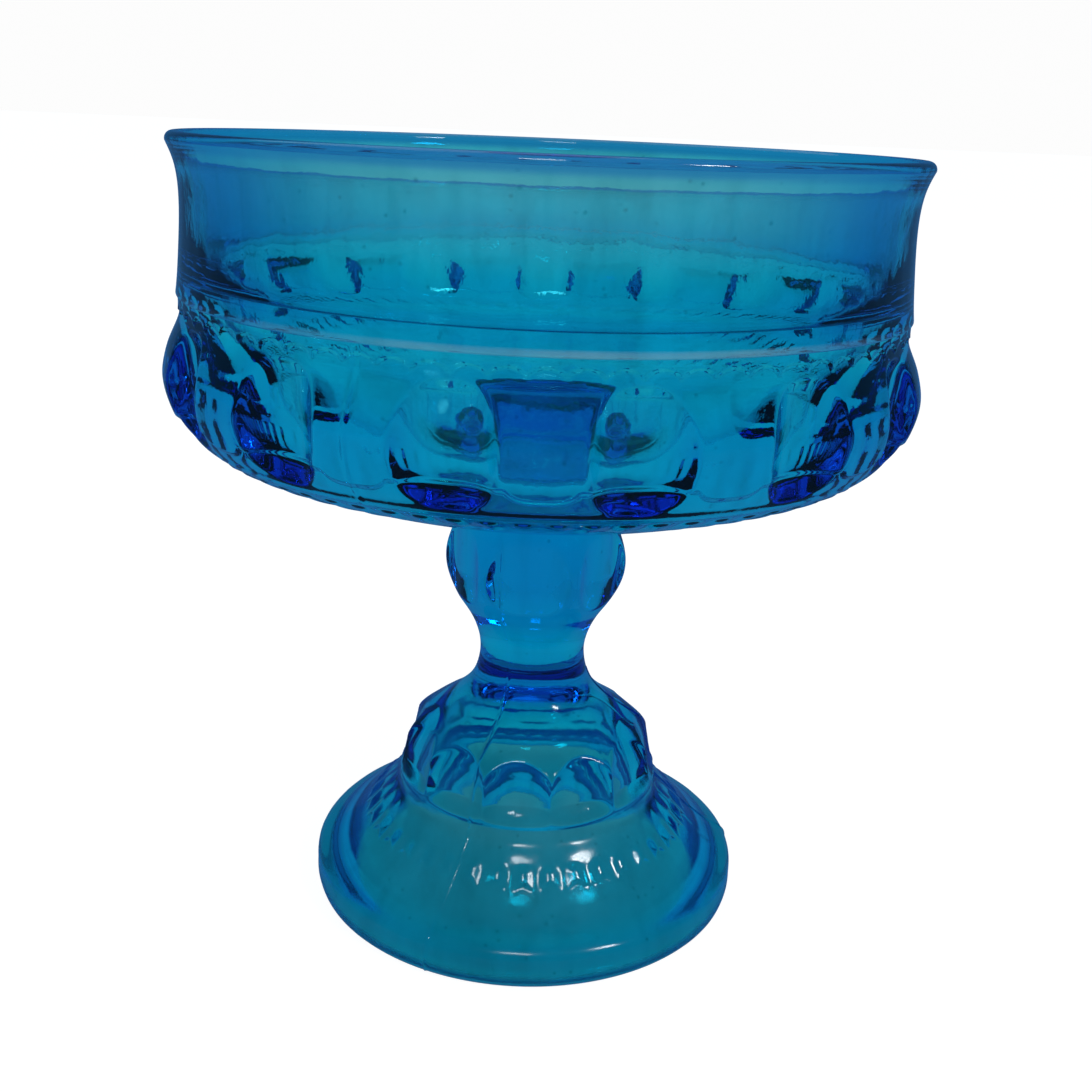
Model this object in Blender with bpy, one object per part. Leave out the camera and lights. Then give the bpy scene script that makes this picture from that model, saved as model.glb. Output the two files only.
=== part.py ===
"""A footed bowl of pressed glass: a flared collar on a thumbprint body, a knopped stem and a domed,
hollow foot. It stands on Z = 0 with its axis on Z. Every section is turned round that axis, and the
pressed pattern pushes the turned surface in or out along its radius."""

import math

import bmesh
import bpy

MM = 0.001

# Driving dimensions.
HEIGHT = 140.0 * MM
LIP_RADIUS = 63.4 * MM
LIP_ROUND = 1.35 * MM
COLLAR_HEIGHT = 25.5 * MM
COLLAR_FOOT_RADIUS = 62.8 * MM
COLLAR_WAIST_RADIUS = 61.65 * MM
COLLAR_DRAFT = math.radians(3.7)
SEAT_RADIUS = 58.8 * MM
SEAT_WIDTH = 1.2 * MM
SEAT_RISE = 2.7 * MM
BULGE_RADIUS = 65.6 * MM
BODY_HEIGHT = 23.1 * MM
CREASE_RADIUS = 60.6 * MM
UNDERSIDE_DROP = 14.9 * MM
FLOOR_DROP = 3.4 * MM
KNOP_RADIUS = 17.05 * MM
KNOP_TOP_RADIUS = 13.2 * MM
STEM_LENGTH = 33.2 * MM
DOME_RADIUS = 25.15 * MM
DOME_HOLLOW_RADIUS = 21.0 * MM
DOME_HEIGHT = 21.5 * MM
CROWN_THICKNESS = 2.4 * MM
FOOT_RADIUS = 41.3 * MM
FOOT_HOLLOW_RADIUS = 36.2 * MM
FOOT_EDGE_ROUND = 1.3 * MM
JOINT_GAP = 0.3 * MM

# Heights of the joints and creases, worked down from the rim.
LEDGE_Z = HEIGHT - COLLAR_HEIGHT
SEAT_Z = LEDGE_Z + SEAT_RISE
CREASE_Z = LEDGE_Z - BODY_HEIGHT
FLOOR_Z = CREASE_Z - FLOOR_DROP
STEM_TOP_Z = CREASE_Z - UNDERSIDE_DROP
NECK_Z = STEM_TOP_Z - STEM_LENGTH
DOME_BASE_Z = NECK_Z - DOME_HEIGHT

# The pressed pattern. Azimuth 0 is the front, -Y, and grows towards +X.
BODY_PRINTS = 15
BODY_PRINT_PHASE = math.radians(12.5)
BODY_PRINT_HALF_ANGLE = math.radians(6.9)
BODY_PRINT_HALF_HEIGHT = 9.6 * MM
BODY_PRINT_Z = LEDGE_Z - 13.4 * MM
BODY_PRINT_DEPTH = 2.2 * MM
TEETH_PER_PRINT = 5
TOOTH_RELIEF = 0.45 * MM
KNOP_PRINTS = 6
KNOP_PRINT_PHASE = math.radians(-4.0)
KNOP_PRINT_HALF_ANGLE = math.radians(25.0)
KNOP_PRINT_HALF_HEIGHT = 5.2 * MM
KNOP_PRINT_Z = STEM_TOP_Z - 10.7 * MM
KNOP_PRINT_DEPTH = 0.8 * MM
DOME_PRINTS = 12
DOME_PRINT_PHASE = math.radians(26.0)
DOME_PRINT_HALF_ANGLE = math.radians(17.0)
DOME_PRINT_HALF_HEIGHT = 4.9 * MM
DOME_PRINT_Z = DOME_BASE_Z + 6.9 * MM
DOME_PRINT_DEPTH = 1.5 * MM
FOOT_TEETH = 39
FOOT_TOOTH_RELIEF = 0.35 * MM

# Colours, as linear red, green and blue.
COLLAR_COLOUR = (0.05, 0.42, 0.55)
BODY_COLOUR = (0.02, 0.38, 0.55)
STEM_COLOUR = (0.02, 0.36, 0.50)
FOOT_COLOUR = (0.02, 0.34, 0.48)
GLASS_ROUGHNESS = 0.04
GLASS_IOR = 1.52
SHARP_EDGE = math.radians(35)

# How finely each section is divided round the axis.
COLLAR_STEPS = BODY_PRINTS * 5
BODY_STEPS = BODY_PRINTS * TEETH_PER_PRINT * 2
KNOP_STEPS = KNOP_PRINTS * 8
DOME_STEPS = DOME_PRINTS * 5
FOOT_STEPS = FOOT_TEETH * 2


def curve_through(points, steps):
    """Points on a smooth curve through the given ones, steps of them to each span."""
    padded = [points[0], *points, points[-1]]
    curve = [points[0]]
    for before, start, end, after in zip(padded, padded[1:], padded[2:], padded[3:]):
        for step in range(1, steps + 1):
            t = step / steps
            curve.append(tuple(hermite(t, *values) for values in zip(before, start, end, after)))
    return curve


def hermite(t, before, start, end, after):
    """One coordinate of a curve from start to end that leans the way its neighbours lead."""
    lean_start = (end - before) / 2
    lean_end = (after - start) / 2
    return (
        (2 * t**3 - 3 * t**2 + 1) * start
        + (t**3 - 2 * t**2 + t) * lean_start
        + (3 * t**2 - 2 * t**3) * end
        + (t**3 - t**2) * lean_end
    )


def arc(centre, radius, first, last, steps):
    """Points on an arc from one angle to another, in degrees from the outward direction."""
    angles = [math.radians(first + (last - first) * step / steps) for step in range(steps + 1)]
    return [(centre[0] + radius * math.cos(a), centre[1] + radius * math.sin(a)) for a in angles]


def scaled(shares, radius, low, high):
    """Outline points given as shares of a radius and of the height between two levels."""
    return [(radius * out, low + (high - low) * up) for out, up in shares]


def azimuth(step, steps):
    return 2 * math.pi * step / steps


def off_nearest(angle, phase, count):
    """The angle to the nearest of count features spaced evenly round the axis."""
    pitch = 2 * math.pi / count
    return (angle - phase + pitch / 2) % pitch - pitch / 2


def print_relief(count, phase, half_angle, centre, half_height, depth):
    """A ring of oval thumbprints: each pushes the surface in, most at its middle."""

    def relief(angle, height):
        across = off_nearest(angle, phase, count) / half_angle
        up = (height - centre) / half_height
        return -depth * max(0.0, 1 - across**2 - up**2)

    return relief


def saw_relief(count, phase, depth):
    """A ring of teeth: the surface stands out by depth at each tooth and not at all between."""

    def relief(angle, height):
        return depth * (1 - abs(off_nearest(angle, phase, count)) * count / math.pi)

    return relief


def plain(angle, height):
    return 0.0


def with_relief(points, relief=plain):
    return [(radius, height, relief) for radius, height in points]


def turn(name, outline, steps, closed, material):
    """Turns an outline of (radius, height, relief) round Z. An open outline starts and ends on Z."""
    mesh = bmesh.new()
    rings = []
    for radius, height, relief in outline:
        if radius == 0.0:
            rings.append([mesh.verts.new((0.0, 0.0, height))] * steps)
            continue
        ring = []
        for step in range(steps):
            angle = azimuth(step, steps)
            out = radius + relief(angle, height)
            ring.append(mesh.verts.new((out * math.sin(angle), -out * math.cos(angle), height)))
        rings.append(ring)
    pairs = list(zip(rings, rings[1:]))
    if closed:
        pairs.append((rings[-1], rings[0]))
    for first, second in pairs:
        for step in range(steps):
            after = (step + 1) % steps
            corners = [first[step], first[after], second[after], second[step]]
            mesh.faces.new(list(dict.fromkeys(corners)))
    bmesh.ops.recalc_face_normals(mesh, faces=mesh.faces)
    data = bpy.data.meshes.new(name)
    mesh.to_mesh(data)
    mesh.free()
    data.shade_smooth()
    data.set_sharp_from_angle(angle=SHARP_EDGE)
    data.materials.append(material)
    piece = bpy.data.objects.new(name, data)
    bpy.context.scene.collection.objects.link(piece)
    return piece


def glass(name, colour):
    """Clear coloured glass with a fire-polished surface."""
    material = bpy.data.materials.new(name)
    material.use_nodes = True
    shader = material.node_tree.nodes["Principled BSDF"]
    shader.inputs["Base Color"].default_value = (*colour, 1.0)
    shader.inputs["Roughness"].default_value = GLASS_ROUGHNESS
    shader.inputs["Metallic"].default_value = 0.0
    shader.inputs["IOR"].default_value = GLASS_IOR
    shader.inputs["Transmission Weight"].default_value = 1.0
    return material


def collar():
    """The flared band above the ledge, with its rounded lip and drafted inside."""
    outer = [
        (COLLAR_FOOT_RADIUS, LEDGE_Z + 0.5 * MM),
        (COLLAR_WAIST_RADIUS + 0.5 * MM, LEDGE_Z + 0.24 * COLLAR_HEIGHT),
        (COLLAR_WAIST_RADIUS, LEDGE_Z + 0.58 * COLLAR_HEIGHT),
        (COLLAR_WAIST_RADIUS + 0.45 * MM, LEDGE_Z + 0.79 * COLLAR_HEIGHT),
        (LIP_RADIUS - 0.35 * MM, HEIGHT - 1.6 * LIP_ROUND),
    ]
    lip_centre = (LIP_RADIUS - LIP_ROUND, HEIGHT - LIP_ROUND)
    lip = arc(lip_centre, LIP_ROUND, -10, 190, 4)
    inner_bottom = (SEAT_RADIUS, SEAT_Z + 0.8 * MM)
    inner_top_z = HEIGHT - 2.4 * LIP_ROUND
    inner_top = (SEAT_RADIUS + (inner_top_z - inner_bottom[1]) * math.tan(COLLAR_DRAFT), inner_top_z)
    seat_outer = (SEAT_RADIUS - 0.4 * MM, SEAT_Z)
    seat_inner = (SEAT_RADIUS - SEAT_WIDTH, SEAT_Z)
    joint_outer = (COLLAR_FOOT_RADIUS - 0.45 * MM, LEDGE_Z)
    underside = (COLLAR_FOOT_RADIUS - 0.1 * MM, LEDGE_Z)
    outline = [*outer, *lip, inner_top, inner_bottom, seat_outer, seat_inner, joint_outer, underside]
    material = glass("collar_glass", COLLAR_COLOUR)
    return turn("rim_collar", with_relief(outline), COLLAR_STEPS, True, material)


def body():
    """The thumbprint body with its sawtooth rings, its smooth inside and its shallow underside."""
    seat_edge = SEAT_RADIUS - SEAT_WIDTH
    inside = scaled(
        [(0.0, 0.0), (0.28, 0.01), (0.56, 0.05), (0.77, 0.12), (0.89, 0.24), (0.96, 0.43), (0.99, 0.69)],
        seat_edge,
        FLOOR_Z,
        SEAT_Z,
    )
    inside_top = [(seat_edge, SEAT_Z - JOINT_GAP)]
    teeth_top = [(COLLAR_FOOT_RADIUS - 0.5 * MM, LEDGE_Z - JOINT_GAP)]
    teeth = [(0.95 * BULGE_RADIUS, LEDGE_Z - 1.2 * MM)]
    shoulder = [(0.953, 0.89), (0.969, 0.79), (0.989, 0.65), (1.0, 0.47)]
    tuck = [(0.995, 0.345), (0.979, 0.195), (0.957, 0.08)]
    bulge = scaled(shoulder + tuck, BULGE_RADIUS, CREASE_Z, LEDGE_Z)
    crease = [(CREASE_RADIUS, CREASE_Z)]
    ribs = [(0.955 * CREASE_RADIUS, CREASE_Z - 1.5 * MM), (0.87 * CREASE_RADIUS, CREASE_Z - 4.0 * MM)]
    cone = [(0.77, 0.575), (0.59, 0.345), (0.40, 0.165), (0.27, 0.075)]
    underside = scaled(cone, CREASE_RADIUS, STEM_TOP_Z, CREASE_Z)
    boss = [(KNOP_TOP_RADIUS, STEM_TOP_Z), (0.0, STEM_TOP_Z)]
    saw = saw_relief(BODY_PRINTS * TEETH_PER_PRINT, BODY_PRINT_PHASE, TOOTH_RELIEF)
    prints = print_relief(
        BODY_PRINTS,
        BODY_PRINT_PHASE,
        BODY_PRINT_HALF_ANGLE,
        BODY_PRINT_Z,
        BODY_PRINT_HALF_HEIGHT,
        BODY_PRINT_DEPTH,
    )
    outline = [
        *with_relief(inside + inside_top + teeth_top),
        *with_relief(teeth, saw),
        *with_relief(bulge, prints),
        *with_relief(crease),
        *with_relief(ribs, saw),
        *with_relief(underside + boss),
    ]
    return turn("bowl_body", outline, BODY_STEPS, False, glass("body_glass", BODY_COLOUR))


def stem():
    """The solid stem: a knop with broad soft prints above a waisted neck."""
    top = STEM_TOP_Z - JOINT_GAP
    side = curve_through(
        scaled(
            [
                (KNOP_TOP_RADIUS / KNOP_RADIUS, 1.0),
                (0.925, 0.87),
                (0.99, 0.745),
                (0.995, 0.62),
                (0.903, 0.509),
                (0.68, 0.33),
                (0.583, 0.14),
                (0.619, 0.0),
            ],
            KNOP_RADIUS,
            NECK_Z,
            top,
        ),
        2,
    )
    prints = print_relief(
        KNOP_PRINTS,
        KNOP_PRINT_PHASE,
        KNOP_PRINT_HALF_ANGLE,
        KNOP_PRINT_Z,
        KNOP_PRINT_HALF_HEIGHT,
        KNOP_PRINT_DEPTH,
    )
    outline = [(0.0, top, plain), *with_relief(side, prints), (0.0, NECK_Z, plain)]
    return turn("stem_knop", outline, KNOP_STEPS, False, glass("stem_glass", STEM_COLOUR))


def dome():
    """The pedestal dome: a ring of broad thumbprints round a hollow that stops below the neck."""
    top = NECK_Z - JOINT_GAP
    outside = curve_through(
        scaled(
            [(0.42, 1.0), (0.53, 0.83), (0.77, 0.61), (0.90, 0.49), (0.97, 0.35), (1.0, 0.2), (0.994, 0.0)],
            DOME_RADIUS,
            DOME_BASE_Z,
            top,
        ),
        2,
    )
    hollow = scaled(
        [(1.0, 0.0), (0.98, 0.25), (0.895, 0.51), (0.71, 0.75), (0.43, 0.93), (0.0, 1.0)],
        DOME_HOLLOW_RADIUS,
        DOME_BASE_Z,
        top - CROWN_THICKNESS,
    )
    prints = print_relief(
        DOME_PRINTS,
        DOME_PRINT_PHASE,
        DOME_PRINT_HALF_ANGLE,
        DOME_PRINT_Z,
        DOME_PRINT_HALF_HEIGHT,
        DOME_PRINT_DEPTH,
    )
    outline = [(0.0, top, plain), *with_relief(outside, prints), *with_relief(hollow)]
    return turn("pedestal_dome", outline, DOME_STEPS, False, glass("dome_glass", FOOT_COLOUR))


def foot():
    """The flaring foot with its thick rounded rim, open underneath up into the dome."""
    top = DOME_BASE_Z - JOINT_GAP
    saw = saw_relief(FOOT_TEETH, 0.0, FOOT_TOOTH_RELIEF)
    neck = scaled([(0.608, 1.0), (0.655, 0.875)], FOOT_RADIUS, 0.0, top)
    toothed = scaled([(0.72, 0.73), (0.775, 0.63)], FOOT_RADIUS, 0.0, top)
    rim = scaled([(0.922, 0.38), (0.94, 0.355), (0.99, 0.25), (1.0, 0.12)], FOOT_RADIUS, 0.0, top)
    edge = arc((FOOT_RADIUS - FOOT_EDGE_ROUND, FOOT_EDGE_ROUND), FOOT_EDGE_ROUND, 0, -90, 2)
    bearing = [(FOOT_HOLLOW_RADIUS, 0.0)]
    flare = [(0.985, 0.06), (0.94, 0.22), (0.855, 0.4), (0.75, 0.59), (0.65, 0.81)]
    hollow = scaled(flare, FOOT_HOLLOW_RADIUS, 0.0, top)
    hollow_top = [(DOME_HOLLOW_RADIUS, top)]
    outline = [
        *with_relief(neck),
        *with_relief(toothed, saw),
        *with_relief(rim + edge + bearing + hollow + hollow_top),
    ]
    return turn("foot", outline, FOOT_STEPS, True, glass("foot_glass", FOOT_COLOUR))


for leftover in list(bpy.data.objects):
    bpy.data.objects.remove(leftover, do_unlink=True)

collar()
body()
stem()
dome()
foot()
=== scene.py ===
"""The finished look of the footed bowl: five pieces of transparent blue-green pressed glass.

Each piece is a turned outline whose skin is pushed in and out by the pressed pattern. The pieces meet
at hair-thin fused joints that bend no light, so the glass reads as one pressing.
"""

import math

import bpy
import numpy as np
from mathutils import Matrix, Vector


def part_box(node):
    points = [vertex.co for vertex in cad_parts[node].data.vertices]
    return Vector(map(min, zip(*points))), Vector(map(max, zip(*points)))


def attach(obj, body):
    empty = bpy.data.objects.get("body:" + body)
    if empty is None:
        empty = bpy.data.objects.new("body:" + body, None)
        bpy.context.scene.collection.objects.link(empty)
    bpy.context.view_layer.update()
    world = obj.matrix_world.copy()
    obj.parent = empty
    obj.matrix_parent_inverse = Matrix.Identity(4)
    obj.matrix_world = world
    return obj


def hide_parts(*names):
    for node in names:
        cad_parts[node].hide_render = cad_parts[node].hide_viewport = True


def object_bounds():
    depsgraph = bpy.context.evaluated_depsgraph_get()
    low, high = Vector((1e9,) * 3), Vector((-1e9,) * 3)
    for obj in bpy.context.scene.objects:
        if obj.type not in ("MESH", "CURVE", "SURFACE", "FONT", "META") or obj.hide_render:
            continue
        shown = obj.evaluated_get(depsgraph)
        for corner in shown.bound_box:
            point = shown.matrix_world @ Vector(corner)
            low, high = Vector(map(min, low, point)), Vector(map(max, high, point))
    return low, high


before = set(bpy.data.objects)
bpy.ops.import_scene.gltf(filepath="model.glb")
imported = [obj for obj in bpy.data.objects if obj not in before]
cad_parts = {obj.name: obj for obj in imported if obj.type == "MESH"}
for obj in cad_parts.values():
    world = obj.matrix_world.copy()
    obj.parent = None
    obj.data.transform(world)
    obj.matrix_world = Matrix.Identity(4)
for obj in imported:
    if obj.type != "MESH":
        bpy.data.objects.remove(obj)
CAD_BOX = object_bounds()

MM = 0.001

# Heights and radii in millimetres, read from the frame where it states them. The seat is the small step
# inside the bowl just above the ledge, and the crease is where the body's side meets its underside.
HEIGHT = CAD_BOX[1][2] / MM
LEDGE_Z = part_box("rim_collar")[0][2] / MM
STEM_TOP_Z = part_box("bowl_body")[0][2] / MM
NECK_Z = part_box("stem_knop")[0][2] / MM
DOME_BASE_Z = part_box("pedestal_dome")[0][2] / MM
FOOT_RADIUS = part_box("foot")[1][0] / MM
JOINT_GAP = 0.02
LIP_RADIUS = 63.4
LIP_ROUND = 1.3
SEAT_RADIUS = 58.1
SEAT_Z = LEDGE_Z + 2.7
SEAT_ROUND = 0.25
LEDGE_RADIUS = 62.55
CREASE_RADIUS = 60.1
CREASE_Z = LEDGE_Z - 23.3
RIB_END_RADIUS = 34.0
RIB_END_Z = 81.4
STEM_TOP_RADIUS = 13.2
DOME_BASE_RADIUS = 25.0
RIM_TOP_RADIUS = 39.2
RIM_TOP_Z = 7.75
RIM_FOOT_RADIUS = 40.9
RIM_FOOT_Z = 0.6
BEARING_OUTSIDE = 39.8
BEARING_INSIDE = 36.7

# The pressed pattern. Azimuth 0 is the front, -Y, and grows towards +X. A phase is the azimuth of one
# feature of a ring. Angles are in degrees, heights and depths in millimetres.
BODY_PRINTS = 15
BODY_PRINT_PHASE = 12.5
PRINT_HALF_ANGLE = 7.2
PRINT_MIDDLE = 100.6
PRINT_HALF_HEIGHT = 12.8
PRINT_FLOOR = 61.6
PRINT_SIDE = 4.6
PRINT_EDGE = 0.4
TONGUE_PHASE = BODY_PRINT_PHASE + 180.0 / BODY_PRINTS
TONGUE_HALF_ANGLE = 4.6
TONGUE_END = 95.0
TONGUE_END_RISE = 1.6
TONGUE_DEPTH = 0.5
TEETH = 75
SCALLOP_PHASE = BODY_PRINT_PHASE + 180.0 / TEETH
SCALLOP_Z = LEDGE_Z - 3.1
SCALLOP_RISE = 1.7
SCALLOP_DEPTH = 0.3
RIB_DEPTH = 0.3
KNOP_PRINTS = 6
KNOP_PRINT_PHASE = -4.0
KNOP_PRINT_HALF_ANGLE = 28.0
KNOP_PRINT_FLOOR = 14.9
KNOP_PRINT_SIDE = 2.4
DOME_PRINTS = 12
DOME_PRINT_PHASE = 26.0
DOME_ARCH_Z = DOME_BASE_Z + 7.6
DOME_ARCH_RISE = 4.0
DOME_PRINT_DEPTH = 1.9
FOOT_TEETH = 39
FOOT_BAND_Z = 13.9
FOOT_BAND_TOP = 17.2
FOOT_TOOTH_RELIEF = 0.42
SEAM_PHASE = -24.0
SEAMS = 3
SHARP_ANGLE = 50.0

# How the glass takes light away with depth: the colour it leaves, and how fast, per metre. The collar,
# the dome and the foot are thinner than the body and the knop, and take it away faster.
DEPTH_COLOUR = (0.02, 0.935, 0.993)
THIN_DENSITY = 1050.0
FOOT_DENSITY = 820.0
THICK_DENSITY = 450.0
GLASS_IOR = 1.52

# Tints of the skin, with the deeper blue of the painted edge shade and the pale frosting colour that also
# paints the seat's highlight.
WHITE = (1.0, 1.0, 1.0)
FROST_AND_HIGHLIGHT_COLOUR = (0.58, 0.60, 0.45)
# Painted shade: the deeper blue laid where the skin is seen edge on, and on the lip and the foot's edge.
PAINTED_EDGE_SHADE_COLOUR = (0.25, 0.48, 0.85)
STREAK_COLOUR = (0.78, 0.86, 0.86)
SPECK_COLOUR = (0.55, 0.62, 0.62)

# The studio, in metres: what the camera sees of the floor and the room, and what the glass sees of them.
FLOOR_HALF = 12.0
FLOOR_SHOWN = (0.25, 0.25, 0.25)
FLOOR_MIRRORED = (0.03, 0.05, 0.08)
FLOOR_IN_GLASS = (0.08, 0.08, 0.08)
GLOW_SHOWN = (0.92, 0.92, 0.92)
GLOW_MIRRORED = (0.02, 0.1, 0.25)
# Painted shadow: as the glass sees it, the floor's glow is this colour out to GLOW_NEAR from the axis, and
# fades back by GLOW_FAR.
PAINTED_SHADOW_UNDER_FOOT = (0.15, 0.18, 0.22)
GLOW_IN_GLASS = (0.33, 0.40, 0.44)
GLOW_NEAR = 0.026
GLOW_FAR = 0.065
ROOM_SHOWN = (0.98, 0.98, 0.98)
ROOM_MIRRORED = (0.02, 0.11, 0.28)
ROOM_IN_GLASS = (0.34, 0.41, 0.46)
LIGHT_BOUNCES = 24

# The camera, in metres and degrees.
CAMERA_PLACE = (0.0, -0.22888, 0.14428)
CAMERA_PITCH = -18.46
CAMERA_YAW = 0.469
CAMERA_ROLL = 2.414
SENSOR_WIDTH = 36.0
FOCAL_LENGTH = 42.36


# ---------------------------------------------------------------- outlines


def smooth(points, spacing):
    """Points about spacing apart on a cubic spline through the given (radius, height) points."""
    points = np.array(points, float)
    steps = np.linalg.norm(np.diff(points, axis=0), axis=1)
    slopes = np.diff(points, axis=0) / steps[:, None]
    along = np.concatenate([[0.0], np.cumsum(steps)])
    system = np.eye(len(points))
    wanted = np.zeros_like(points)
    for i in range(1, len(points) - 1):
        system[i, i - 1 : i + 2] = steps[i - 1], 2 * (steps[i - 1] + steps[i]), steps[i]
        wanted[i] = 6 * (slopes[i] - slopes[i - 1])
    bend = np.linalg.solve(system, wanted)
    places = np.linspace(0.0, along[-1], max(2, round(along[-1] / spacing) + 1))
    cell = np.clip(np.searchsorted(along, places, side="right") - 1, 0, len(steps) - 1)
    width = steps[cell][:, None]
    left = (along[cell + 1] - places)[:, None]
    right = (places - along[cell])[:, None]
    return (
        (bend[cell] * left**3 + bend[cell + 1] * right**3) / (6 * width)
        + (points[cell] / width - bend[cell] * width / 6) * left
        + (points[cell + 1] / width - bend[cell + 1] * width / 6) * right
    )


def straight(first, last, spacing):
    """Points about spacing apart on a straight line."""
    first = np.array(first, float)
    last = np.array(last, float)
    count = max(2, round(np.linalg.norm(last - first) / spacing) + 1)
    return first + (last - first) * np.linspace(0.0, 1.0, count)[:, None]


def parted(curve, height):
    """A falling curve cut in two at a height: the run above it, and the run below."""
    row = np.argmax(curve[:, 1] < height)
    share = (height - curve[row - 1, 1]) / (curve[row, 1] - curve[row - 1, 1])
    cut = curve[row - 1] + share * (curve[row] - curve[row - 1])
    return np.vstack([curve[:row], cut]), np.vstack([cut, curve[row:]])


def arc(centre, radius, first, last, steps):
    """Points on an arc from one angle to another, in degrees from the outward direction."""
    angles = np.radians(np.linspace(first, last, steps + 1))
    return np.array(centre) + radius * np.column_stack([np.cos(angles), np.sin(angles)])


def neck_outline():
    """The outside from the knop's top, through the neck, down to the foot of the dome."""
    return smooth(
        [(STEM_TOP_RADIUS, STEM_TOP_Z - JOINT_GAP), (14.6, 73.6), (16.2, 69.8), (17.0, 66.0), (16.7, 63.0),
         (15.4, 60.0), (12.9, 56.3), (10.9, 52.4), (9.95, 47.8), (10.3, 44.4), (11.5, 41.2), (13.8, 38.4),
         (17.1, 35.7), (20.6, 33.4), (23.0, 31.4), (24.5, 28.2), (25.15, 25.0),
         (DOME_BASE_RADIUS, DOME_BASE_Z)],
        0.3,
    )


def hollow_outline():
    """The hollow, from its crown under the neck down to the foot's bearing ring."""
    return smooth(
        [(0.0, 40.3), (3.0, 40.1), (8.0, 38.4), (13.5, 35.0), (17.6, 30.9), (20.2, 26.0), (21.9, 21.0),
         (24.0, 16.4), (27.2, 12.3), (31.0, 8.5), (34.0, 4.7), (35.5, 1.8), (36.1, 0.5),
         (BEARING_INSIDE, 0.0)],
        0.5,
    )


# ---------------------------------------------------------------- relief

# Each relief gives how far the skin stands out, in mm, over azimuth (degrees), radius and height (mm).


def off_nearest(azimuth, phase, count):
    """Degrees to the nearest of count features spaced evenly round the axis."""
    pitch = 360.0 / count
    return (azimuth - phase + pitch / 2) % pitch - pitch / 2


def part_way(azimuth, phase, count):
    """0 at the middle of each of count features, and 1 half way to the next."""
    return np.abs(off_nearest(azimuth, phase, count)) * count / 180.0


def wave(azimuth, phase, count):
    """1 at the middle of each of count features, and -1 half way to the next."""
    return np.cos(np.radians(count * off_nearest(azimuth, phase, count)))


def arched(across, power):
    """1 in the middle, at 0, falling in a round arch to 0 at the edge, at 1."""
    return np.sqrt(np.clip(1.0 - across**power, 0.0, 1.0))


def soft_floor(value, softness):
    """The larger of value and 0, with the corner between them rounded off."""
    return 0.5 * (value + np.sqrt(value**2 + softness**2))


def rise(value, start, end):
    """0 up to start and 1 from end on, with a smooth climb between them."""
    t = np.clip((value - start) / (end - start), 0.0, 1.0)
    return t * t * (3 - 2 * t)


def fall(value, start, end):
    """1 up to start and 0 from end on, with a smooth drop between them."""
    return 1.0 - rise(value, start, end)


def seam_line(azimuth, radius, proud, width):
    """The mould's three parting lines, as fine raised threads."""
    off = np.radians(off_nearest(azimuth, SEAM_PHASE, SEAMS)) * radius
    return proud * np.exp(-((off / width) ** 2))


def ripple(azimuth, height, size):
    """The faint waves that the cooling skin of pressed glass keeps."""
    angle = np.radians(azimuth)
    waves = (
        np.sin(7 * angle + 0.31 * height)
        + np.sin(13 * angle - 0.47 * height + 1.3)
        + np.sin(22 * angle + 0.83 * height + 0.4)
        + np.sin(-31 * angle + 1.21 * height + 2.2)
    )
    return 0.25 * size * waves


def oval_prints(azimuth, radius, height):
    """The body's thumbprints: ovals cut through the bulge to an upright floor."""
    across = np.abs(off_nearest(azimuth, BODY_PRINT_PHASE, BODY_PRINTS)) / PRINT_HALF_ANGLE
    along = np.abs(height - PRINT_MIDDLE) / PRINT_HALF_HEIGHT
    floor = PRINT_FLOOR + PRINT_SIDE * (across**2.8 + along**6)
    return -soft_floor(radius - floor, PRINT_EDGE)


def tongue_ends(azimuth, height):
    """A shallow band that ends the tongues of glass between two prints, and fades out at the crease."""
    across = np.abs(off_nearest(azimuth, TONGUE_PHASE, BODY_PRINTS)) / TONGUE_HALF_ANGLE
    end = TONGUE_END + TONGUE_END_RISE * np.minimum(across, 1.0) ** 4
    return -TONGUE_DEPTH * fall(height, end - 0.45, end + 0.45) * rise(height, 91.6, 93.4)


def scallops(azimuth, height):
    """A ring of small scallops under the ledge, which fade out below it."""
    arch = SCALLOP_Z + SCALLOP_RISE * arched(part_way(azimuth, SCALLOP_PHASE, TEETH), 2)
    return -SCALLOP_DEPTH * fall(height, arch - 0.15, arch + 0.15) * rise(height, 106.0, 111.6)


def body_relief(azimuth, radius, height):
    """The pressed pattern of the body's side, with its seams and ripple."""
    pattern = oval_prints(azimuth, radius, height)
    pattern += tongue_ends(azimuth, height)
    pattern += scallops(azimuth, height)
    return pattern + seam_line(azimuth, radius, proud=0.14, width=0.3) + ripple(azimuth, height, 0.02)


def rib_relief(azimuth, radius, height):
    """Fine ribs that run in towards the stem under the body."""
    ridge = 0.5 + 0.5 * wave(azimuth, BODY_PRINT_PHASE, TEETH)
    return RIB_DEPTH * ridge * fall(radius, 58.6, 59.6) * rise(radius, 50.0, 57.0)


def inside_relief(azimuth, radius, height):
    """The plunger's smooth face, with the faint waves of its chill."""
    return ripple(azimuth, 0.4 * height, 0.015) * rise(radius, 8.0, 24.0)


def collar_relief(azimuth, radius, height):
    """The finishing tool's soft vertical drag marks."""
    angle = np.radians(azimuth)
    drag = np.sin(19 * angle + 0.05 * height) + np.sin(43 * angle + 1.1) + np.sin(71 * angle + 2.3)
    return 0.008 * drag + ripple(azimuth, 0.4 * height, 0.015)


def knop_relief(azimuth, radius, height):
    """Broad upright prints round the knop, cut to a floor radius with sides that rise steeply."""
    across = np.abs(off_nearest(azimuth, KNOP_PRINT_PHASE, KNOP_PRINTS)) / KNOP_PRINT_HALF_ANGLE
    floor = KNOP_PRINT_FLOOR + KNOP_PRINT_SIDE * across**4
    prints = -soft_floor(radius - floor, PRINT_EDGE)
    return prints + seam_line(azimuth, radius, proud=0.12, width=0.25) + ripple(azimuth, height, 0.01)


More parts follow.
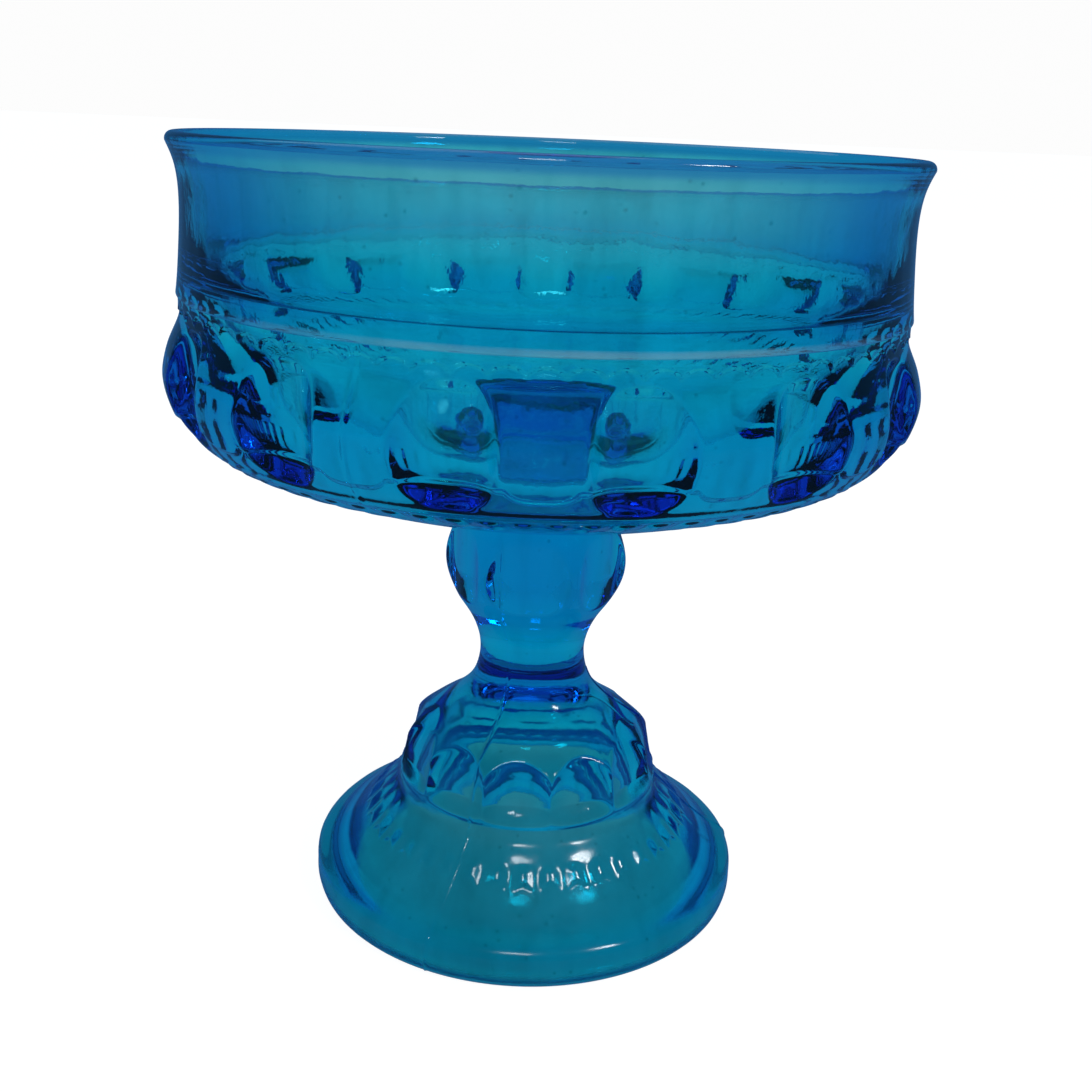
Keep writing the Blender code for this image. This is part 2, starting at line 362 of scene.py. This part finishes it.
def dome_relief(azimuth, radius, height):
    """Thumbprints side by side round the dome: a crisp arched top to each, and a cusp between two."""
    across = part_way(azimuth, DOME_PRINT_PHASE, DOME_PRINTS)
    below = soft_floor(DOME_ARCH_Z + DOME_ARCH_RISE * arched(across, 2.4) - height, 0.3)
    scoop = (1.0 - np.exp(-below / 1.3)) * rise(height, DOME_BASE_Z + 0.6, DOME_BASE_Z + 4.2)
    prints = -DOME_PRINT_DEPTH * scoop * (1.0 - 0.75 * across**2)
    return prints + seam_line(azimuth, radius, proud=0.2, width=0.25) + ripple(azimuth, height, 0.015)


def foot_relief(azimuth, radius, height):
    """A band of small teeth with a wavy lower border, and the seams down to the edge."""
    across = wave(azimuth, 0.0, FOOT_TEETH)
    border = FOOT_BAND_Z + 0.5 * across
    band = rise(height, border - 0.3, border + 0.3) * fall(height, FOOT_BAND_TOP - 1.6, FOOT_BAND_TOP)
    teeth = FOOT_TOOTH_RELIEF * band * (0.45 + 0.55 * across)
    return teeth + seam_line(azimuth, radius, proud=0.24, width=0.28) + ripple(azimuth, height, 0.03)


def plain_skin(azimuth, radius, height):
    """No relief, on a skin that light bends at."""
    return np.zeros(np.broadcast(azimuth, radius).shape)


def flat_joint(azimuth, radius, height):
    """No relief: a fused joint lies flat against its neighbour."""
    return np.zeros(np.broadcast(azimuth, radius).shape)


# Prints with upright floors are cut along the radius, and every other relief along the skin's normal.
CUT_ALONG_RADIUS = (body_relief, knop_relief)


# ---------------------------------------------------------------- wear, painted highlight and painted edge shade

# Each of these gives, from 0 to 1 over azimuth, radius and height, how worn or filmed the skin is, or how
# much painted highlight or painted edge shade it takes.


def ledge_wear_and_seat_highlight(azimuth, radius, height):
    """The worn corner of the ledge, a dry film that thickens towards the lip, and a painted highlight: a
    pale line along the seat's rounded edge.
    """
    angle = np.radians(azimuth)
    patchy = 0.6 + 0.25 * np.sin(3.0 * angle + math.radians(40.0)) + 0.15 * np.sin(17.0 * angle)
    corner = fall(height, LEDGE_Z + 0.75, LEDGE_Z + 1.05) * rise(radius, 61.9, 62.3)
    streaky = 0.4 + 0.3 * np.cos(2.0 * angle)
    film = rise(height, LEDGE_Z + 9.0, HEIGHT - 3.0) * rise(radius, 60.9, 61.2)
    # Painted highlight: the seat's rounded edge is frosted pale to stand in for the light it catches.
    seat = fall(height, SEAT_Z + 0.2, SEAT_Z + 0.5) * fall(radius, 58.9, 59.2)
    return 0.2 * corner * patchy + 0.11 * film * streaky + 0.3 * seat


def bearing_wear(azimuth, radius, height):
    """The scuffed ring that the foot stands on."""
    return 0.7 * fall(height, 0.1, 0.5)


def no_wear(azimuth, radius, height):
    """A skin that is neither worn nor filmed."""
    return np.zeros(height.shape)


def painted_edge_shade_amount(azimuth, radius, height):
    """Painted shade: a deeper blue on the rolled lip and the foot's edge, in place of the colour that light
    takes running round inside the glass.
    """
    lip = rise(height, HEIGHT - 3.0, HEIGHT - 1.6)
    foot_edge = fall(height, 1.3, 2.2) * rise(radius, 39.0, 40.2)
    return 0.85 * (lip + foot_edge)


# ---------------------------------------------------------------- meshes


def outline_normals(points, closed):
    """Unit normals of the outline, pointing out of the glass, which lies to the right of its run."""
    before = np.roll(points, 1, axis=0)
    after = np.roll(points, -1, axis=0)
    if not closed:
        before[0] = points[0]
        after[-1] = points[-1]
    run = after - before
    run /= np.maximum(np.linalg.norm(run, axis=1), 1e-9)[:, None]
    return np.column_stack([-run[:, 1], run[:, 0]])


def joined(spans, closed):
    """One run of points from spans that share their ends, with each point's relief and joint mark."""
    points = []
    reliefs = []
    joints = []
    for curve, relief in spans:
        first = 1 if points else 0
        points.extend(curve[first:])
        reliefs.extend([relief] * (len(curve) - first))
        joints.extend([relief is flat_joint] * (len(curve) - 1))
    if closed:
        points.pop()
        reliefs.pop()
    return np.array(points), reliefs, joints


def turn(name, spans, steps, closed, material, wear):
    """Turns spans of outline round Z into one closed skin. An open outline starts and ends on Z."""
    points, reliefs, joints = joined(spans, closed)
    normals = outline_normals(points, closed)
    upright = np.array([relief in CUT_ALONG_RADIUS for relief in reliefs])
    normals[upright] = (1.0, 0.0)
    azimuth = np.arange(steps) * 360.0 / steps
    out = np.zeros((len(points), steps))
    for relief in set(reliefs):
        rows = np.array([other is relief for other in reliefs])
        out[rows] = relief(azimuth[None, :], points[rows, :1], points[rows, 1:])
    radius = points[:, :1] + normals[:, :1] * out
    height = points[:, 1:] + normals[:, 1:] * out
    angle = np.radians(azimuth)[None, :]
    grid = np.stack([radius * np.sin(angle), -radius * np.cos(angle), height], axis=-1) * MM
    piece = skin(name, grid, joints, closed, material)
    places = point_places(piece.data)
    # The first mark is wear and film, with a painted highlight on the seat; the second is painted edge
    # shade.
    keep_marks(piece.data, "frost_and_painted_highlight", "POINT", wear(*places))
    keep_marks(piece.data, "painted_edge_shade", "POINT", painted_edge_shade_amount(*places))
    return piece


def skin(name, grid, joints, closed, material):
    """The mesh over a grid of rings. Where it isn't closed, its first and last rings are points on Z."""
    rows, steps = grid.shape[:2]
    if closed:
        verts = grid.reshape(-1, 3)
        index = np.arange(rows * steps).reshape(rows, steps)
        pairs = [(row, (row + 1) % rows) for row in range(rows)]
        fans = []
    else:
        poles = grid[[0, -1], 0]
        verts = np.concatenate([grid[1:-1].reshape(-1, 3), poles])
        index = np.arange((rows - 2) * steps).reshape(rows - 2, steps)
        pairs = [(row, row + 1) for row in range(rows - 3)]
        fans = [(len(verts) - 2, index[0], True), (len(verts) - 1, index[-1], False)]
        joints = joints[1:-1] + [joints[0], joints[-1]]
    faces = []
    for first, second in pairs:
        ring = index[first]
        following = index[second]
        quads = np.stack([ring, following, np.roll(following, -1), np.roll(ring, -1)], axis=1)
        faces.extend(quads.tolist())
    for pole, ring, opening in fans:
        following = np.roll(ring, -1)
        around = (ring, following) if opening else (following, ring)
        faces.extend(np.stack([np.full(steps, pole), *around], axis=1).tolist())
    mesh = bpy.data.meshes.new(name)
    mesh.from_pydata(verts.tolist(), [], faces)
    keep_marks(mesh, "fused", "FACE", np.repeat(joints, steps))
    mesh.shade_smooth()
    mesh.set_sharp_from_angle(angle=math.radians(SHARP_ANGLE))
    mesh.materials.append(material)
    piece = bpy.data.objects.new(name, mesh)
    bpy.context.scene.collection.objects.link(piece)
    return piece


def point_places(mesh):
    """Each point's azimuth in degrees, and its radius and height in millimetres."""
    points = np.empty(len(mesh.vertices) * 3, np.float32)
    mesh.vertices.foreach_get("co", points)
    x, y, z = points.reshape(-1, 3).astype(float).T / MM
    return np.degrees(np.arctan2(x, -y)), np.hypot(x, y), z


def keep_marks(mesh, name, domain, values):
    """Keeps a number from 0 to 1 on each point or face, under the name that the glass reads it by."""
    layer = mesh.attributes.new(name, "FLOAT", domain)
    layer.data.foreach_set("value", np.clip(values, 0.0, 1.0).astype(np.float32))


# ---------------------------------------------------------------- material nodes


def feed(tree, socket, value):
    """Links another node's output to an input, or sets the input to a plain number or colour."""
    if isinstance(value, bpy.types.NodeSocket):
        tree.links.new(value, socket)
    elif isinstance(value, tuple):
        socket.default_value = (*value, 1.0)
    else:
        socket.default_value = value


def mark(tree, name):
    """The number that the mesh keeps under a name."""
    node = tree.nodes.new("ShaderNodeAttribute")
    node.attribute_name = name
    return node.outputs["Fac"]


def noise(tree, place, scale, detail, roughness):
    """A noise texture's value, from 0 to 1."""
    node = tree.nodes.new("ShaderNodeTexNoise")
    feed(tree, node.inputs["Vector"], place)
    feed(tree, node.inputs["Scale"], scale)
    feed(tree, node.inputs["Detail"], detail)
    feed(tree, node.inputs["Roughness"], roughness)
    return node.outputs["Fac"]


def ramp(tree, value, first, first_colour, last, last_colour):
    """A colour that runs from one at a first value to another at a last value."""
    node = tree.nodes.new("ShaderNodeValToRGB")
    low, high = node.color_ramp.elements
    low.position = first
    low.color = (*first_colour, 1.0)
    high.position = last
    high.color = (*last_colour, 1.0)
    feed(tree, node.inputs["Fac"], value)
    return node.outputs["Color"]


def mixed(tree, first, second, share, blend="MIX"):
    """A second colour laid over a first by a share from 0 to 1."""
    node = tree.nodes.new("ShaderNodeMix")
    node.data_type = "RGBA"
    node.blend_type = blend
    feed(tree, node.inputs["Factor"], share)
    feed(tree, node.inputs["A"], first)
    feed(tree, node.inputs["B"], second)
    return node.outputs["Result"]


def ranged(tree, value, start, end, low, high, climb="LINEAR"):
    """A number that goes from low to high as value goes from start to end."""
    node = tree.nodes.new("ShaderNodeMapRange")
    node.interpolation_type = climb
    feed(tree, node.inputs["Value"], value)
    feed(tree, node.inputs["From Min"], start)
    feed(tree, node.inputs["From Max"], end)
    feed(tree, node.inputs["To Min"], low)
    feed(tree, node.inputs["To Max"], high)
    return node.outputs["Result"]


def worked_out(tree, operation, *values):
    """The result of one operation on outputs and plain numbers."""
    node = tree.nodes.new("ShaderNodeMath")
    node.operation = operation
    for socket, value in zip(node.inputs, values):
        feed(tree, socket, value)
    return node.outputs["Value"]


# ---------------------------------------------------------------- glass


def cloudy_tint(tree, place, smoky):
    """The tint of the glass: smoky clouds, streaks drawn out upwards, and small dark specks."""
    patches = noise(tree, place, scale=34.0, detail=4.0, roughness=0.55)
    clouds = ramp(tree, patches, 0.38, smoky, 0.58, WHITE)
    stretch = tree.nodes.new("ShaderNodeMapping")
    feed(tree, stretch.inputs["Vector"], place)
    stretch.inputs["Scale"].default_value = (1.0, 1.0, 0.12)
    drawn = noise(tree, stretch.outputs["Vector"], scale=180.0, detail=5.0, roughness=0.5)
    streaks = ramp(tree, drawn, 0.36, STREAK_COLOUR, 0.52, WHITE)
    cells = tree.nodes.new("ShaderNodeTexVoronoi")
    feed(tree, cells.inputs["Vector"], place)
    feed(tree, cells.inputs["Scale"], 260.0)
    specks = ramp(tree, cells.outputs["Distance"], 0.05, SPECK_COLOUR, 0.11, WHITE)
    streaked = mixed(tree, clouds, streaks, 1.0, "MULTIPLY")
    return mixed(tree, streaked, specks, 1.0, "MULTIPLY")


def painted_edge_shade_share(tree, edge_from, edge_to):
    """How much painted deeper-blue shade the skin takes: nearly all on the lip and the foot's edge, and
    more the more edge on it is seen.
    """
    facing = tree.nodes.new("ShaderNodeLayerWeight")
    feed(tree, facing.inputs["Blend"], 0.5)
    steep = ranged(tree, facing.outputs["Facing"], edge_from, edge_to, 0.0, 1.0, "SMOOTHSTEP")
    return worked_out(tree, "MAXIMUM", steep, mark(tree, "painted_edge_shade"))


def skin_roughness(tree, place, frost_and_painted_highlight, clear, worn):
    """Roughness in patches from clear to worn, and duller where the skin is frosted or carries the painted
    seat highlight.
    """
    patches = noise(tree, place, scale=90.0, detail=6.0, roughness=0.6)
    rough = ranged(tree, patches, 0.4, 0.75, clear, worn)
    return worked_out(tree, "MULTIPLY_ADD", frost_and_painted_highlight, 0.5, rough)


def fine_waviness(tree, place):
    """The fine orange peel that the cooling leaves in the skin."""
    bump = tree.nodes.new("ShaderNodeBump")
    feed(tree, bump.inputs["Strength"], 0.35)
    feed(tree, bump.inputs["Distance"], 0.06 * MM)
    feed(tree, bump.inputs["Height"], noise(tree, place, scale=420.0, detail=3.0, roughness=0.5))
    return bump.outputs["Normal"]


def glass(name, density, smoky, rough, edge):
    """Blue-green glass. Its depth of colour is in its volume, and its tints, film, wear, painted edge shade
    and painted seat highlight in its skin.

    Roughness runs between the two values of rough. A painted deeper-blue shade starts where the skin is
    seen as much edge on as the first value of edge says, and is full by the second.
    """
    material = bpy.data.materials.new(name)
    material.use_nodes = True
    tree = material.node_tree
    place = tree.nodes.new("ShaderNodeTexCoord").outputs["Object"]
    frost_and_painted_highlight = mark(tree, "frost_and_painted_highlight")

    # The tint takes a painted deeper-blue edge shade, and the pale frosting colour, which also paints a
    # highlight along the seat.
    tint = mixed(tree, cloudy_tint(tree, place, smoky), PAINTED_EDGE_SHADE_COLOUR, painted_edge_shade_share(tree, *edge))
    shader = tree.nodes["Principled BSDF"]
    feed(tree, shader.inputs["Base Color"], mixed(tree, tint, FROST_AND_HIGHLIGHT_COLOUR, frost_and_painted_highlight))
    feed(tree, shader.inputs["Metallic"], 0.0)
    feed(tree, shader.inputs["Roughness"], skin_roughness(tree, place, frost_and_painted_highlight, *rough))
    feed(tree, shader.inputs["IOR"], GLASS_IOR)
    feed(tree, shader.inputs["Transmission Weight"], worked_out(tree, "MULTIPLY_ADD", frost_and_painted_highlight, -1.0, 1.0))
    feed(tree, shader.inputs["Normal"], fine_waviness(tree, place))

    through = tree.nodes.new("ShaderNodeBsdfTransparent")
    either = tree.nodes.new("ShaderNodeMixShader")
    feed(tree, either.inputs[0], mark(tree, "fused"))
    feed(tree, either.inputs[1], shader.outputs["BSDF"])
    feed(tree, either.inputs[2], through.outputs["BSDF"])

    depth = tree.nodes.new("ShaderNodeVolumeAbsorption")
    feed(tree, depth.inputs["Color"], DEPTH_COLOUR)
    feed(tree, depth.inputs["Density"], density)
    output = tree.nodes["Material Output"]
    feed(tree, output.inputs["Surface"], either.outputs["Shader"])
    feed(tree, output.inputs["Volume"], depth.outputs["Volume"])
    return material


def collar_glass():
    """Clear under a smoky cast, with painted deeper-blue shade wherever it isn't seen square on."""
    return glass("collar_glass", THIN_DENSITY, (0.84, 0.89, 0.87), rough=(0.012, 0.07), edge=(0.05, 0.62))


def body_glass():
    """The clearest of the glass."""
    return glass("body_glass", THICK_DENSITY, (0.93, 0.97, 0.97), rough=(0.012, 0.06), edge=(0.45, 1.0))


def stem_glass():
    """Clear, with a faint cloud in the solid knop."""
    return glass("stem_glass", THICK_DENSITY, (0.86, 0.93, 0.93), rough=(0.02, 0.08), edge=(0.45, 1.0))


def dome_glass():
    """Cloudy, and a little worn."""
    return glass("dome_glass", FOOT_DENSITY, (0.74, 0.86, 0.86), rough=(0.035, 0.14), edge=(0.2, 0.9))


def foot_glass():
    """Cloudy, and the most worn."""
    return glass("foot_glass", FOOT_DENSITY, (0.74, 0.86, 0.84), rough=(0.07, 0.22), edge=(0.5, 1.0))


# ---------------------------------------------------------------- pieces


def collar():
    """The flared band above the ledge, with its rolled lip."""
    lip = arc((LIP_RADIUS - LIP_ROUND, HEIGHT - LIP_ROUND), LIP_ROUND, 188, -8, 16)
    seat_edge = (SEAT_RADIUS, SEAT_Z + JOINT_GAP)
    step = arc((SEAT_RADIUS + SEAT_ROUND, seat_edge[1]), SEAT_ROUND, 180, 80, 8)
    inner = smooth(
        [step[-1], (58.8, SEAT_Z + 1.6), (59.2, LEDGE_Z + 6.8), (59.4, LEDGE_Z + 10.5),
         (59.5, LEDGE_Z + 14.5), (59.75, HEIGHT - 8.0), (60.3, HEIGHT - 4.5), lip[0]],
        0.4,
    )
    corner = (62.85, LEDGE_Z + 0.35)
    outer = smooth(
        [lip[-1], (62.35, LEDGE_Z + 21.4), (61.85, LEDGE_Z + 19.0), (61.65, LEDGE_Z + 14.5),
         (61.8, LEDGE_Z + 11.0), (62.2, LEDGE_Z + 6.0), (62.62, LEDGE_Z + 2.0), corner],
        0.45,
    )
    underside = (62.68, LEDGE_Z + 0.02)
    spans = [
        (step, plain_skin),
        (inner, inside_relief),
        (lip, plain_skin),
        (outer, collar_relief),
        (smooth([corner, (62.8, LEDGE_Z + 0.12), underside], 0.12), plain_skin),
        (straight(underside, (LEDGE_RADIUS, LEDGE_Z), 0.2), plain_skin),
        (straight((LEDGE_RADIUS, LEDGE_Z), seat_edge, 0.6), flat_joint),
    ]
    return turn("rim_collar_glass", spans, steps=480, closed=True, material=collar_glass(), wear=ledge_wear_and_seat_highlight)


def body():
    """The thumbprint body, its smooth inside and its ribbed, shallow underside."""
    seat = (SEAT_RADIUS, SEAT_Z)
    ledge = (LEDGE_RADIUS, LEDGE_Z - JOINT_GAP)
    crease = (CREASE_RADIUS, CREASE_Z)
    rib_end = (RIB_END_RADIUS, RIB_END_Z)
    boss = (STEM_TOP_RADIUS, STEM_TOP_Z)
    inside = smooth(
        [(0.0, 87.7), (10.0, 87.8), (20.0, 88.15), (32.0, 89.2), (44.4, 91.4), (51.0, 94.8), (54.8, 99.8),
         (56.7, 106.0), (57.6, 112.0), seat],
        0.8,
    )
    side = smooth(
        [ledge, (62.6, 112.2), (62.95, 110.5), (63.6, 108.8), (64.4, 106.8), (65.1, 104.6), (65.6, 101.8),
         (65.0, 98.0), (63.6, 94.7), (61.9, 92.7), crease],
        0.3,
    )
    spans = [
        (inside, inside_relief),
        (straight(seat, ledge, 0.6), flat_joint),
        (side, body_relief),
        (smooth([crease, (57.9, 89.9), (51.0, 86.8), (44.0, 84.3), rib_end], 0.35), rib_relief),
        (smooth([rib_end, (24.0, 79.2), (17.0, 78.0), (14.3, 77.4), boss], 0.6), plain_skin),
        (straight(boss, (0.0, STEM_TOP_Z), 1.2), flat_joint),
    ]
    return turn("bowl_body_glass", spans, steps=1080, closed=False, material=body_glass(), wear=no_wear)


def stem():
    """The solid knop and waisted neck."""
    top = STEM_TOP_Z - JOINT_GAP
    side = parted(neck_outline(), NECK_Z)[0]
    spans = [
        (straight((0.0, top), side[0], 1.2), flat_joint),
        (side, knop_relief),
        (straight(side[-1], (0.0, NECK_Z), 1.2), flat_joint),
    ]
    return turn("stem_knop_glass", spans, steps=480, closed=False, material=stem_glass(), wear=no_wear)


def dome():
    """The pedestal dome over the top of the foot's hollow."""
    top = NECK_Z - JOINT_GAP
    outside = parted(neck_outline(), top)[1]
    hollow = parted(hollow_outline(), DOME_BASE_Z)[0][::-1]
    spans = [
        (straight((0.0, top), outside[0], 1.2), flat_joint),
        (outside, dome_relief),
        (straight(outside[-1], hollow[0], 0.7), flat_joint),
        (hollow, plain_skin),
    ]
    return turn("pedestal_dome_glass", spans, steps=600, closed=False, material=dome_glass(), wear=no_wear)


def foot():
    """The flaring foot, its toothed band and its thick rounded rim."""
    top = DOME_BASE_Z - JOINT_GAP
    rim_top = (RIM_TOP_RADIUS, RIM_TOP_Z)
    rim_foot = (RIM_FOOT_RADIUS, RIM_FOOT_Z)
    skirt = smooth(
        [(DOME_BASE_RADIUS, top), (25.4, 20.2), (27.0, 18.4), (29.4, 15.8), (32.0, 13.2), (34.8, 10.8),
         (37.9, 8.5), rim_top],
        0.3,
    )
    rim = smooth([rim_top, (40.3, 7.0), (41.1, 5.9), (FOOT_RADIUS, 3.8), (FOOT_RADIUS, 1.9), rim_foot], 0.3)
    hollow = parted(hollow_outline(), top)[1][::-1]
    spans = [
        (skirt, foot_relief),
        (rim, foot_relief),
        (smooth([rim_foot, (40.4, 0.12), (BEARING_OUTSIDE, 0.0)], 0.2), plain_skin),
        (straight((BEARING_OUTSIDE, 0.0), (BEARING_INSIDE, 0.0), 0.6), plain_skin),
        (hollow, inside_relief),
        (straight(hollow[-1], (DOME_BASE_RADIUS, top), 0.7), flat_joint),
    ]
    return turn("foot_glass", spans, steps=780, closed=True, material=foot_glass(), wear=bearing_wear)


# ---------------------------------------------------------------- studio


def seen_as(tree, shown, mirrored, through):
    """A stage colour: as the camera sees it direct, as the glass mirrors it, and as seen in the glass."""
    path = tree.nodes.new("ShaderNodeLightPath")
    glossy = mixed(tree, through, mirrored, path.outputs["Is Glossy Ray"])
    refracted = mixed(tree, glossy, through, path.outputs["Is Transmission Ray"])
    return mixed(tree, refracted, shown, path.outputs["Is Camera Ray"])


def floor_glow(tree):
    """Light that the glass gathers from the floor, with a painted shadow that dims it in a disc under the
    foot.
    """
    place = tree.nodes.new("ShaderNodeTexCoord")
    length = tree.nodes.new("ShaderNodeVectorMath")
    length.operation = "LENGTH"
    feed(tree, length.inputs[0], place.outputs["Object"])
    away = ranged(tree, length.outputs["Value"], GLOW_NEAR, GLOW_FAR, 0.0, 1.0)
    return mixed(tree, PAINTED_SHADOW_UNDER_FOOT, GLOW_IN_GLASS, away)


def pale_floor():
    """A dull floor with a soft pale glow of its own."""
    material = bpy.data.materials.new("pale_floor")
    material.use_nodes = True
    tree = material.node_tree
    shader = tree.nodes["Principled BSDF"]
    feed(tree, shader.inputs["Base Color"], seen_as(tree, FLOOR_SHOWN, FLOOR_MIRRORED, FLOOR_IN_GLASS))
    feed(tree, shader.inputs["Roughness"], 0.8)
    feed(tree, shader.inputs["Specular IOR Level"], 0.1)
    feed(tree, shader.inputs["Emission Color"], seen_as(tree, GLOW_SHOWN, GLOW_MIRRORED, floor_glow(tree)))
    feed(tree, shader.inputs["Emission Strength"], 1.0)
    return material


def studio_floor():
    """A pale floor that runs out to the horizon."""
    half = FLOOR_HALF
    corners = [(-half, -half, 0.0), (half, -half, 0.0), (half, half, 0.0), (-half, half, 0.0)]
    mesh = bpy.data.meshes.new("studio_floor")
    mesh.from_pydata(corners, [], [(0, 1, 2, 3)])
    mesh.materials.append(pale_floor())
    floor = bpy.data.objects.new("studio_floor", mesh)
    bpy.context.scene.collection.objects.link(floor)


def soft_box(name, place, aim_height, width, depth, power):
    """A soft rectangular light, aimed at a point on the bowl's axis."""
    data = bpy.data.lights.new(name, "AREA")
    data.shape = "RECTANGLE"
    data.size = width
    data.size_y = depth
    data.energy = power
    lamp = bpy.data.objects.new(name, data)
    lamp.location = place
    aim = Vector((0.0, 0.0, aim_height))
    lamp.rotation_euler = (aim - lamp.location).to_track_quat("-Z", "Y").to_euler()
    bpy.context.scene.collection.objects.link(lamp)


def daylight():
    """An even room: white where the camera sees it direct, and greyer and bluer in the glass."""
    world = bpy.data.worlds.new("room")
    bpy.context.scene.world = world
    world.use_nodes = True
    tree = world.node_tree
    back = tree.nodes["Background"]
    feed(tree, back.inputs["Color"], seen_as(tree, ROOM_SHOWN, ROOM_MIRRORED, ROOM_IN_GLASS))
    feed(tree, back.inputs["Strength"], 1.0)


def camera():
    """The camera at the photograph's viewing angle, with its slight tilt."""
    data = bpy.data.cameras.new("camera")
    data.sensor_width = SENSOR_WIDTH
    data.lens = FOCAL_LENGTH
    data.clip_start = 0.01
    eye = bpy.data.objects.new("camera", data)
    turned = (
        Matrix.Rotation(math.radians(-CAMERA_YAW), 4, "Z")
        @ Matrix.Rotation(math.radians(90.0 + CAMERA_PITCH), 4, "X")
        @ Matrix.Rotation(math.radians(CAMERA_ROLL), 4, "Z")
    )
    eye.matrix_world = Matrix.Translation(CAMERA_PLACE) @ turned
    bpy.context.scene.collection.objects.link(eye)
    bpy.context.scene.camera = eye


def glass_rendering():
    """Plain colours, and enough bounces for light to come out of the glass again."""
    scene = bpy.context.scene
    scene.view_settings.view_transform = "Standard"
    scene.cycles.max_bounces = LIGHT_BOUNCES
    scene.cycles.transmission_bounces = LIGHT_BOUNCES
    scene.cycles.transparent_max_bounces = LIGHT_BOUNCES


PIECES = (
    (collar, "rim_collar", "collar_glass"),
    (body, "bowl_body", "body_glass"),
    (stem, "stem_knop", "stem_glass"),
    (dome, "pedestal_dome", "dome_glass"),
    (foot, "foot", "foot_glass"),
)

camera()
for make, node, slot in PIECES:
    made = make()
    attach(made, "root")
    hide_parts(node)

studio_floor()
daylight()
soft_box("key", (0.72, -0.55, 0.95), aim_height=0.08, width=0.2, depth=0.16, power=2.0)
soft_box("window", (-0.04, -0.74, 0.97), aim_height=0.05, width=0.2, depth=0.14, power=0.9)
soft_box("top", (-0.3, 0.75, 1.5), aim_height=0.05, width=1.2, depth=1.2, power=2.0)
glass_rendering()
